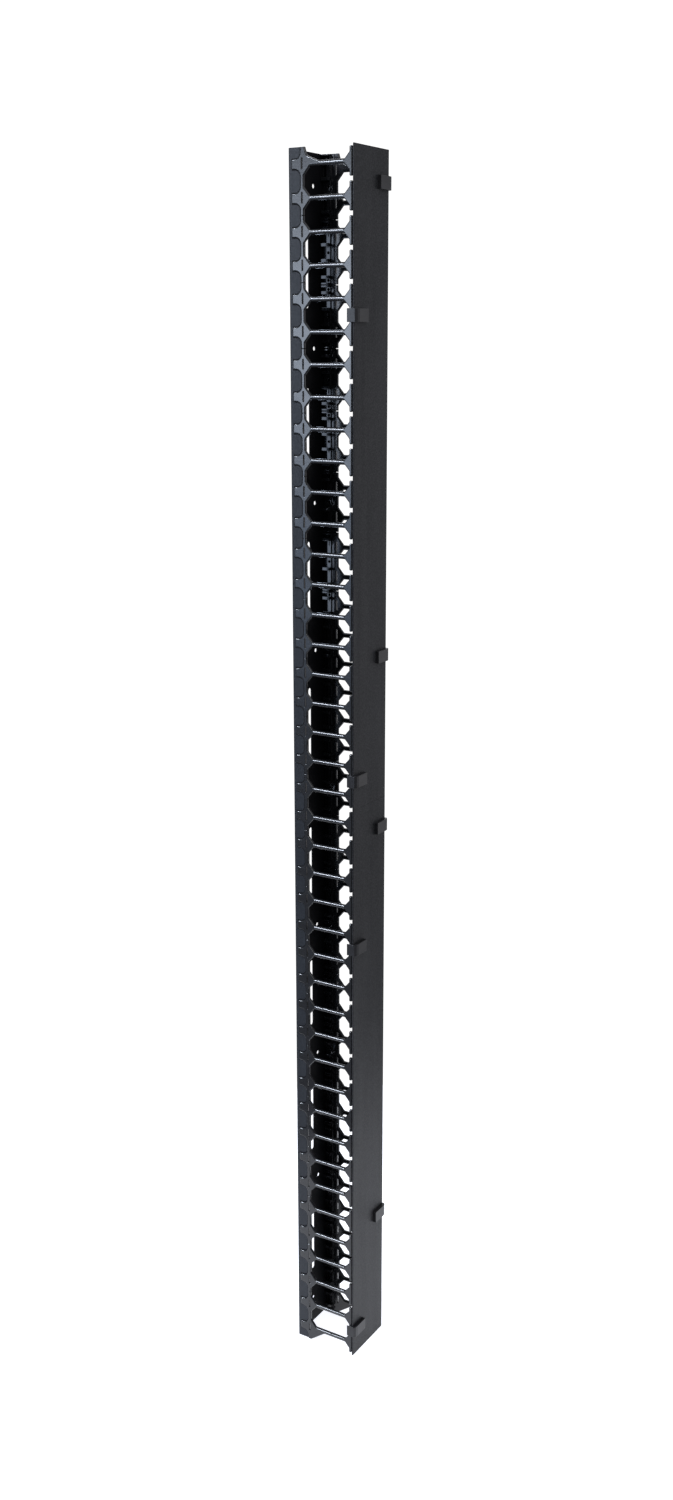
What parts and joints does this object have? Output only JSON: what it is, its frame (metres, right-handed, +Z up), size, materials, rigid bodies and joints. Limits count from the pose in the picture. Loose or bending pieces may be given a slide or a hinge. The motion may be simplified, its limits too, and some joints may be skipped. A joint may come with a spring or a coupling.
{
  "type": "vertical cable manager",
  "caption": "Tall vertical cable manager: steel back channel, moulded finger strips with T heads on both sides, and two flat covers on hook clips that open to either side.",
  "frame": {"origin": "bottom centre of the flat back face, which is bolted to the rack", "axes": "+X across the width, -Y towards the covers, +Y out of the back face, +Z up along the manager"},
  "size_m": [0.0986, 0.113, 1.8669],
  "materials": {
    "channel_steel": "black powder coat, satin",
    "cover_steel": "black powder coat, satin, fine texture",
    "finger_plastic": "black moulded plastic, satin with glossy edges",
    "clip_plastic": "black moulded plastic, satin",
    "liner_plastic": "dark grey low friction plastic"
  },
  "bodies": {
    "frame": {"back_channel": "channel_steel", "finger_strip_left_1": "finger_plastic", "finger_strip_left_2": "finger_plastic", "finger_strip_left_3": "finger_plastic", "finger_strip_left_4": "finger_plastic", "finger_strip_left_5": "finger_plastic", "finger_strip_left_6": "finger_plastic", "finger_strip_left_7": "finger_plastic", "finger_strip_left_8": "finger_plastic", "finger_strip_left_9": "finger_plastic", "finger_strip_left_10": "finger_plastic", "finger_strip_left_11": "finger_plastic", "finger_strip_left_12": "finger_plastic", "finger_strip_left_13": "finger_plastic", "finger_strip_left_14": "finger_plastic", "finger_strip_left_15": "finger_plastic", "finger_strip_left_16": "finger_plastic", "finger_strip_left_17": "finger_plastic", "finger_strip_left_18": "finger_plastic", "finger_strip_left_19": "finger_plastic", "finger_strip_left_20": "finger_plastic", "finger_strip_left_21": "finger_plastic", "finger_strip_right_1": "finger_plastic", "finger_strip_right_2": "finger_plastic", "finger_strip_right_3": "finger_plastic", "finger_strip_right_4": "finger_plastic", "finger_strip_right_5": "finger_plastic", "finger_strip_right_6": "finger_plastic", "finger_strip_right_7": "finger_plastic", "finger_strip_right_8": "finger_plastic", "finger_strip_right_9": "finger_plastic", "finger_strip_right_10": "finger_plastic", "finger_strip_right_11": "finger_plastic", "finger_strip_right_12": "finger_plastic", "finger_strip_right_13": "finger_plastic", "finger_strip_right_14": "finger_plastic", "finger_strip_right_15": "finger_plastic", "finger_strip_right_16": "finger_plastic", "finger_strip_right_17": "finger_plastic", "finger_strip_right_18": "finger_plastic", "finger_strip_right_19": "finger_plastic", "finger_strip_right_20": "finger_plastic", "finger_strip_right_21": "finger_plastic"},
    "upper_hinge_liners": {"hinge_liners_upper_right": "liner_plastic"},
    "upper_cover": {"cover_upper": "cover_steel", "clip_upper_left_top": "clip_plastic", "clip_upper_left_bottom": "clip_plastic", "clip_upper_right_top": "clip_plastic", "clip_upper_right_bottom": "clip_plastic", "hinge_liners_upper_left": "liner_plastic"},
    "lower_hinge_liners": {"hinge_liners_lower_right": "liner_plastic"},
    "lower_cover": {"cover_lower": "cover_steel", "clip_lower_left_top": "clip_plastic", "clip_lower_left_bottom": "clip_plastic", "clip_lower_right_top": "clip_plastic", "clip_lower_right_bottom": "clip_plastic", "hinge_liners_lower_left": "liner_plastic"}
  },
  "joints": [
    {"name": "upper_cover_left_hinge", "type": "hinge", "parent": "frame", "child": "upper_hinge_liners", "pos_m": [-0.0445, -0.1016, 0.9], "axis": [0, 0, -1], "range_deg": [0, 110]},
    {"name": "upper_cover_right_hinge", "type": "hinge", "parent": "upper_hinge_liners", "child": "upper_cover", "pos_m": [0.0445, -0.1016, 0.9], "axis": [0, 0, 1], "range_deg": [0, 110]},
    {"name": "lower_cover_left_hinge", "type": "hinge", "parent": "frame", "child": "lower_hinge_liners", "pos_m": [-0.0445, -0.1016, 0.9], "axis": [0, 0, -1], "range_deg": [0, 110]},
    {"name": "lower_cover_right_hinge", "type": "hinge", "parent": "lower_hinge_liners", "child": "lower_cover", "pos_m": [0.0445, -0.1016, 0.9], "axis": [0, 0, 1], "range_deg": [0, 110]}
  ]
}
